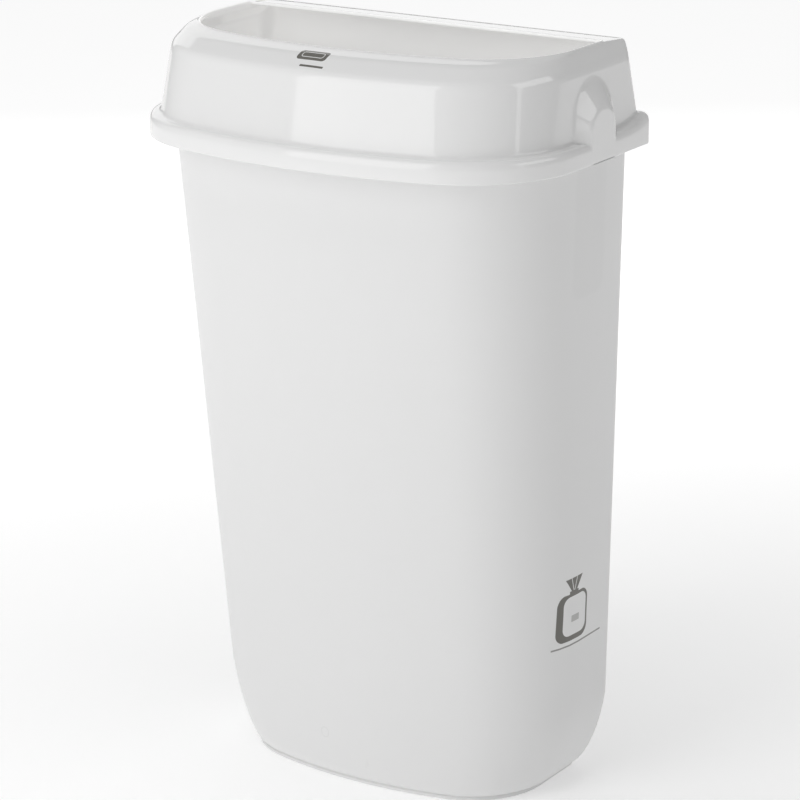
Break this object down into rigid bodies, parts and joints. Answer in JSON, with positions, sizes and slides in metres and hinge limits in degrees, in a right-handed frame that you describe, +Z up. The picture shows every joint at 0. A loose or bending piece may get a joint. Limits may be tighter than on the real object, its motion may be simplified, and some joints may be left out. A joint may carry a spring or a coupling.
{
  "type": "waste bin",
  "caption": "Flat-backed washroom waste bin: tapered tub with bowed front, lift-off collar lid with open top, and a hinged wire ring that grips the bag.",
  "frame": {"origin": "centre of the outline, on the floor under the bin", "axes": "+Z up, +X to the bin's right as seen from the front, the bowed front faces -Y and the flat back +Y"},
  "size_m": [0.427, 0.255, 0.7],
  "materials": {
    "tub_plastic": "satin white moulding",
    "lid_plastic": "glossy white moulding",
    "ring_wire": "plated wire",
    "washer_steel": "spring steel",
    "bracket_plastic": "light grey moulding",
    "screw_steel": "zinc plated"
  },
  "bodies": {
    "body": {"tub": "tub_plastic", "right_ring_bracket": "bracket_plastic", "left_ring_bracket": "bracket_plastic", "bracket_screws": "screw_steel"},
    "lid": {"lid": "lid_plastic"},
    "ring": {"bag_ring": "ring_wire", "ring_retaining_washers": "washer_steel"}
  },
  "joints": [
    {"name": "lid_lift", "type": "slide", "parent": "body", "child": "lid", "axis": [0, 0, 1], "range_m": [0, 0.17]},
    {"name": "ring_hinge", "type": "hinge", "parent": "body", "child": "ring", "pos_m": [0, 0.0415, 0.6294], "axis": [-1, 0, 0], "range_deg": [0, 90]}
  ]
}
